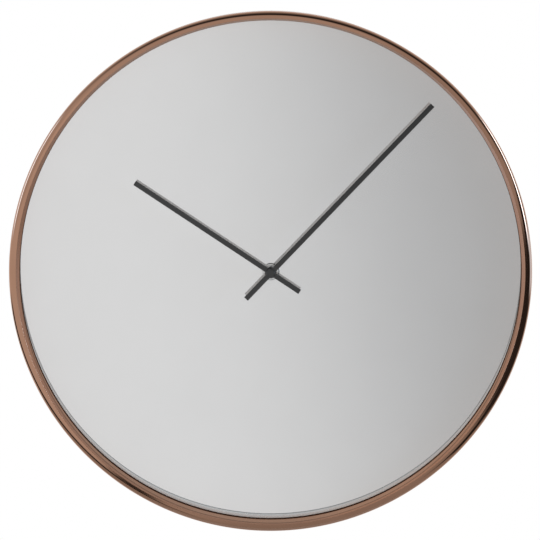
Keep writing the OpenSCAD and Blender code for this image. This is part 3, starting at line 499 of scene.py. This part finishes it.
# Circuit board: a narrow piece of glass-fibre sheet under green solder resist. It stands on two pegs
# along one side of the housing.
resist = plastic("solder resist", (0.015, 0.08, 0.035), (0.03, 0.13, 0.06),
                 0.22, 0.36, 1800.0, 0.02 * mm)
dress("circuit_board", resist, 0.05 * mm)

# Crystal can and contact strips: the can is drawn and the strips are stamped and bent, all of them
# nickel plated. The strips bear on the two ends of the cell.
nickel = turned_metal("nickel plate", (0.62, 0.62, 0.615), (0.70, 0.70, 0.695), 0.12, 0.28)
dress("quartz_crystal", nickel, 0.15 * mm)
dress("negative_contact", nickel, 0.03 * mm)
dress("positive_contact", nickel, 0.03 * mm)

# Cell: a round steel can in a plain dark shrink sleeve. The sleeve is drawn over both ends, the
# can's button stands out at one end and its bottom is dished at the other.
low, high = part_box("battery_cell")
cell_r = (high.z - low.z) / 2
button_r, button_len, button_round = 2.75 * mm, 1 * mm, 0.3 * mm
sleeve_t, sleeve_lap, turn_in = 0.15 * mm, 1.6 * mm, 0.6 * mm
dish, dish_r, dish_rim = 0.5 * mm, 3.8 * mm, 0.6 * mm
groove_w, bend, crease, play = 0.5 * mm, 0.2 * mm, 0.15 * mm, 0.05 * mm
small_turns = 96
can_r = cell_r - sleeve_t
lap_r = can_r - sleeve_lap
steel_r = can_r - play
shoulder = high.x - button_len
foot, top = low.x + sleeve_t, shoulder - sleeve_t
sleeve = spun("cell_sleeve", soft_section([
    (can_r, low.x + turn_in, 0), (lap_r, foot, 0), (lap_r, low.x, 0), (cell_r, low.x, turn_in),
    (cell_r, shoulder, turn_in), (lap_r, shoulder, 0), (lap_r, top, 0),
    (can_r, shoulder - turn_in, 0)], 6), small_turns)
can = spun("cell_can", soft_section([
    (0, low.x + dish, 0), (dish_r, low.x + dish, bend), (dish_r + dish_rim, foot, bend),
    (steel_r, foot, turn_in), (steel_r, top, turn_in), (button_r + 2 * groove_w, top, bend),
    (button_r + groove_w, shoulder - dish, crease), (button_r, shoulder - dish, crease),
    (button_r, high.x, button_round), (0, high.x, 0)], 4), small_turns)
lying = Matrix.Rotation(math.radians(90), 4, "Z")
lying.translation = (0, (low.y + high.y) / 2, (low.z + high.z) / 2)
for piece in (sleeve, can):
    piece.data.transform(lying)
film = plastic("cell sleeve", (0.055, 0.06, 0.07), (0.08, 0.085, 0.095), 0.22, 0.36, 1500.0, 0.01 * mm)
stand_for(sleeve, "battery_cell", "cell", film)
can.data.materials.append(plated)
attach(can, "cell")

# Rubber washer: punched from a sheet of soft foam rubber, slipped over the post and squeezed between
# the movement and the board.
post_bore, rubber_r, rubber_round = 4.05 * mm, 11 * mm, 0.1 * mm
rubber_rear, rubber_front = depths("rubber_washer")
rubber = spun("rubber_washer_sheet", washer_section(post_bore, rubber_r, rubber_rear, rubber_front,
                                                    rubber_round), small_turns)
stand_for(rubber, "rubber_washer", "case", shade_brown_foam)

# Threaded post: turned and nickel plated, pressed into the base, with a fine thread for the nut. It
# stands out of the nut in front of the glass and carries the hour wheel's pipe in its bore.
post_r, post_inside = 4 * mm, 2.55 * mm
foot_r, foot_t = 6 * mm, 0.8 * mm
pitch, thread_depth, flank = 0.75 * mm, 0.36 * mm, 2.4
post_turns, rows_per_pitch = 64, 8
post_rear, post_front = depths("threaded_post")
shank = post_rear + foot_t
thread = []
rows = round((post_front - shank) / pitch * rows_per_pitch)
for k in range(rows + 1):
    d = shank + (post_front - shank) * k / rows
    loop = []
    for i in range(post_turns):
        phase = (d / pitch + i / post_turns) % 1
        r = post_r - thread_depth * min(1, flank * abs(phase - 0.5))
        r = min(r, post_r - thread_depth + (post_front - d))
        a = 2 * math.pi * i / post_turns
        loop.append((r * math.cos(a), -d, r * math.sin(a)))
    thread.append(loop)
shoulders = ((post_inside, post_front), (post_inside, post_rear), (foot_r, post_rear), (foot_r, shank))
post = loft("threaded_post_plated", thread + [circle(r, d, post_turns) for r, d in shoulders], 50)
stand_for(post, "threaded_post", "case", nickel)

# Dial washer: thin punched washer, nickel plated, under the nut in front of the glass. Its rim is
# rolled over by the punch.
washer_rear, washer_front = depths("dial_washer")
washer_r, rim_w, rim_drop = 10 * mm, 1 * mm, 0.45 * mm
rolled, rim_round, hole_round, burr = 0.3 * mm, 0.05 * mm, 0.1 * mm, 0.02 * mm
washer_turns = 128
washer = spun("dial_washer_plated", soft_section([
    (post_bore, washer_rear, burr), (washer_r, washer_rear, burr),
    (washer_r, washer_front - rim_drop, rim_round), (washer_r - rim_w, washer_front, rolled),
    (post_bore, washer_front, hole_round)], 8), washer_turns)
stand_for(washer, "dial_washer", "case", nickel)

# Hex nut: a thin nut of nickel-plated brass, cut from hexagon bar with its corners turned off at both
# faces. It draws the movement against the board and clamps the glass.
flat_r, face_in, corner_slope, eased = 6 * mm, 0.5 * mm, 1.73, 0.3 * mm
nut_rear, nut_front = depths("hex_nut")
thick = nut_front - nut_rear
sides = []
for part in (0, 0.03, 0.06, 0.1, 0.16, 0.24, 0.76, 0.84, 0.9, 0.94, 0.97, 1):
    loop = []
    for i in range(small_turns):
        a = 2 * math.pi * i / small_turns
        hexagon = flat_r / math.cos((a + math.pi / 6) % (math.pi / 3) - math.pi / 6)
        r = min(hexagon, flat_r - face_in + corner_slope * thick * min(part, 1 - part))
        loop.append((r * math.cos(a), -(nut_rear + thick * part), r * math.sin(a)))
    sides.append(loop)
bore = ((post_bore + eased, nut_front), (post_bore, nut_front - eased),
        (post_bore, nut_rear + eased), (post_bore + eased, nut_rear))
nut = loft("hex_nut_plated", sides + [circle(r, d, small_turns) for r, d in bore], 25)
stand_for(nut, "hex_nut", "case", nickel)

# Hands: blanked from aluminium sheet, sprayed semi-gloss charcoal on the front and sides, left pale and
# bare behind, and riveted to a bush that is pressed on the pipe or the arbor.
painted, tree, shader = finish("charcoal paint", (0.016, 0.0156, 0.0152), 0.0, 0.13)
shader.inputs["Specular IOR Level"].default_value = 0.68
skin = use(tree, moulded, Grain=2200.0)
parts = tree.nodes.new("ShaderNodeSeparateXYZ")
tree.links.new(tree.nodes.new("ShaderNodeTexCoord").outputs["Normal"], parts.inputs["Vector"])
bare = put(tree, "ShaderNodeMapRange", From_Min=0.35, From_Max=0.6)
tree.links.new(parts.outputs["Y"], bare.inputs["Value"])
coat = tree.nodes.new("ShaderNodeMix")
coat.data_type = "RGBA"
coat.inputs["B"].default_value = (0.67, 0.635, 0.605, 1)
tree.links.new(bare.outputs["Result"], coat.inputs["Factor"])
charcoal = tint(tree, skin["Flow"], (0.014, 0.0136, 0.0132), (0.018, 0.0175, 0.017))
tree.links.new(charcoal, coat.inputs["A"])
tree.links.new(coat.outputs["Result"], shader.inputs["Base Color"])
tree.links.new(span(tree, bare.outputs["Result"], 0.0, 0.15), shader.inputs["Metallic"])
tree.links.new(span(tree, skin["Flow"], 0.09, 0.17), shader.inputs["Roughness"])
relief(tree, shader, skin["Grain"], 0.02 * mm, 0.15)
dress("hour_hand", painted, 0.12 * mm)
dress("minute_hand", painted, 0.12 * mm)

# Hand nut: a small round cap, turned, sprayed charcoal like the hands and screwed on the end of the
# minute arbor.
cap_r, cap_round, foot_round = 5 * mm, 0.55 * mm, 0.15 * mm
arbor_bore, bore_depth, bore_round = 1.35 * mm, 1.4 * mm, 0.05 * mm
cap_rear, cap_front = depths("hand_nut")
bore_end = cap_rear + bore_depth
cap = spun("hand_nut_cap", soft_section([
    (arbor_bore, cap_rear, bore_round), (cap_r, cap_rear, foot_round), (cap_r, cap_front, cap_round),
    (0, cap_front, 0), (0, bore_end, 0), (arbor_bore, bore_end, bore_round)], 8), small_turns)
stand_for(cap, "hand_nut", "minute", painted)

# Floor: a pale round board, painted matt, well below the clock, which hangs clear of it. Its rim fades
# out into the white of the room.
floor_r, floor_z, fade_from = 1.3, -1.4, 0.2
bm = bmesh.new()
bmesh.ops.create_circle(bm, cap_ends=True, segments=96, radius=floor_r)
mesh = bpy.data.meshes.new("floor")
bm.to_mesh(mesh)
bm.free()
floor = bpy.data.objects.new("floor", mesh)
floor.location.z = floor_z
bpy.context.scene.collection.objects.link(floor)
pale, tree, shader = finish("pale floor", (0.5, 0.5, 0.5), 0.0, 0.8)
place = tree.nodes.new("ShaderNodeTexCoord").outputs["Object"]
out_from_middle = tree.nodes.new("ShaderNodeVectorMath")
out_from_middle.operation = "LENGTH"
tree.links.new(place, out_from_middle.inputs[0])
fade = put(tree, "ShaderNodeMapRange", From_Min=fade_from, From_Max=floor_r, To_Min=1.0, To_Max=0.0)
fade.interpolation_type = "SMOOTHSTEP"
tree.links.new(out_from_middle.outputs["Value"], fade.inputs["Value"])
tree.links.new(fade.outputs["Result"], shader.inputs["Alpha"])
path = tree.nodes.new("ShaderNodeLightPath").outputs
tree.links.new(path["Is Camera Ray"], shader.inputs["Emission Color"])
shader.inputs["Emission Strength"].default_value = 0.45
floor.data.materials.append(pale)

# Light: a bright sweep behind the clock and a grey room in front of it, lighter to the left, dark
# overhead, with black flags at the right, a thin dark gap at the left and a cool strip light at each
# side. What is mirrored twice sees plain grey cards.
world = bpy.data.worlds.new("studio")
bpy.context.scene.world = world
world.use_nodes = True
tree = world.node_tree
tree.nodes.clear()
where = tree.nodes.new("ShaderNodeTexCoord")


def along(x, y, z):
    """How far each direction of the room points along one heading."""
    dot = tree.nodes.new("ShaderNodeVectorMath")
    dot.operation = "DOT_PRODUCT"
    dot.inputs[1].default_value = Vector((x, y, z)).normalized()
    tree.links.new(where.outputs["Generated"], dot.inputs[0])
    return dot.outputs["Value"]


def rise(value, low, high):
    """Soft step from 0 to 1 between two values."""
    step = put(tree, "ShaderNodeMapRange", From_Min=low, From_Max=high)
    step.interpolation_type = "SMOOTHSTEP"
    tree.links.new(value, step.inputs["Value"])
    return step.outputs["Result"]


def times(*masks):
    """Product of masks."""
    product = masks[0]
    for mask in masks[1:]:
        both = tree.nodes.new("ShaderNodeMath")
        both.operation = "MULTIPLY"
        tree.links.new(product, both.inputs[0])
        tree.links.new(mask, both.inputs[1])
        product = both.outputs["Value"]
    return product


def hang(under, mask, level, tone=(1, 1, 1)):
    """Hangs a card of even brightness in the room where its mask is 1."""
    card = tree.nodes.new("ShaderNodeMix")
    card.data_type = "RGBA"
    card.inputs["B"].default_value = (*(level * part for part in tone), 1)
    tree.links.new(mask, card.inputs["Factor"])
    tree.links.new(under, card.inputs["A"])
    return card.outputs["Result"]


right, up, front = along(1, 0, 0), along(0, 0, 1), along(0, -1, 0)
grey = tree.nodes.new("ShaderNodeValToRGB")
grey.color_ramp.interpolation = "B_SPLINE"
grey.color_ramp.elements[0].position, grey.color_ramp.elements[1].position = 0.0, 1.0
for stop, level in ((0.16, 0.905), (0.3, 0.905), (0.44, 0.835), (0.59, 0.54), (0.75, 0.44)):
    grey.color_ramp.elements.new(stop).color = (level, level, level, 1)
for end, level in ((0, 0.70), (-1, 0.52)):
    grey.color_ramp.elements[end].color = (level, level, level, 1)
across = put(tree, "ShaderNodeMapRange", From_Min=-0.2, From_Max=0.2)
tree.links.new(along(0.985, 0, 0.174), across.inputs["Value"])
tree.links.new(across.outputs["Result"], grey.inputs["Fac"])
room = grey.outputs["Color"]
upper_card = times(rise(up, -0.01, 0.06), rise(right, 0.13, 0.07))
room = hang(room, upper_card, 0.62)
lower_card = rise(along(-0.3, 0, 0.954), -0.20, -0.31)
room = hang(room, lower_card, 0.42)
dark_ceiling = rise(along(0.3, 0, 0.954), 0.2, 0.6)
room = hang(room, dark_ceiling, 0.03)
top_card = times(rise(front, 0.65, -0.2), rise(up, 0.2, 0.5))
room = hang(room, top_card, 0.45)
front_flag = times(rise(right, 0.15, 0.19), rise(along(-0.41, 0, 0.912), -0.141, -0.169),
                   rise(along(0.625, 0, 0.78), -0.19, -0.15), rise(front, 0.35, 0.5))
room = hang(room, front_flag, 0.03)
bright_sweep = rise(front, -0.03, -0.85)
room = hang(room, bright_sweep, 1.5, (0.82, 1.0, 1.17))
sweep_middle = rise(front, -0.85, -0.97)
room = hang(room, sweep_middle, 0.9)
side_flag = times(rise(right, 0.3, 0.4), rise(up, -0.14, -0.24),
                  rise(along(0.625, 0, 0.78), -0.08, 0.05), rise(front, -0.3, 0.0))
room = hang(room, side_flag, 0.04)
gap = times(rise(along(0.595, 0.603, -0.532), -0.515, -0.495), rise(right, -0.09, -0.105),
            rise(along(0.525, 0.377, -0.763), -0.04, -0.07), rise(up, -0.16, -0.26))
room = hang(room, gap, 0.02)
cool = (0.68, 1.0, 1.38)
band = along(0, -1, 1)
right_strip = times(rise(band, 0.20, 0.23), rise(band, 0.43, 0.40), rise(right, 0.6, 0.7),
                    rise(up, -0.06, 0.1), rise(up, 0.55, 0.45))
room = hang(room, right_strip, 7.0, cool)
strip_foot = times(rise(front, 0.4, 0.25), rise(right, 0.75, 0.85), rise(up, -0.22, -0.13),
                   rise(up, 0.1, 0.0))
room = hang(room, strip_foot, 1.6, cool)
left_strip = times(rise(front, -0.12, -0.06), rise(front, 0.26, 0.2), rise(right, -0.6, -0.7),
                   rise(up, 0.0, 0.12), rise(up, 0.55, 0.45))
room = hang(room, left_strip, 3.2, cool)
path = tree.nodes.new("ShaderNodeLightPath").outputs
again = rise(path["Ray Depth"], 2.2, 2.8)
room = hang(room, again, 0.80)
cool_card = times(again, rise(up, 0.0, 0.2))
room = hang(room, cool_card, 0.80, (0.92, 1.0, 1.1))
warm_card = times(again, rise(up, -0.1, -0.18), rise(front, 0.85, 0.93))
room = hang(room, warm_card, 0.5, (1.08, 1.0, 0.9))
pale_card = times(again, rise(right, -0.05, -0.2))
room = hang(room, pale_card, 0.95)
room = hang(room, path["Is Camera Ray"], 1.0)
sky = tree.nodes.new("ShaderNodeBackground")
tree.links.new(room, sky.inputs["Color"])
out = tree.nodes.new("ShaderNodeOutputWorld")
tree.links.new(sky.outputs["Background"], out.inputs["Surface"])
bpy.context.scene.view_settings.view_transform = "Standard"

# Camera: a long lens at the photograph's angle, a little above the centre of the dial, shifted so
# that the clock fills the frame as it does in the photograph.
eye = (0.00974, -2.96521, 0.33940)
tipped_down, turned_right = 4.75, 0.402
focal_length, sensor_width = 170.587, 36
shift_right, shift_up = -0.0501, -0.1503
lens = bpy.data.cameras.new("camera")
lens.lens = focal_length
lens.sensor_width = sensor_width
lens.shift_x = shift_right
lens.shift_y = shift_up
camera = bpy.data.objects.new("camera", lens)
camera.location = eye
camera.rotation_euler = (math.radians(90 - tipped_down), 0, math.radians(-turned_right))
bpy.context.scene.collection.objects.link(camera)
bpy.context.scene.camera = camera
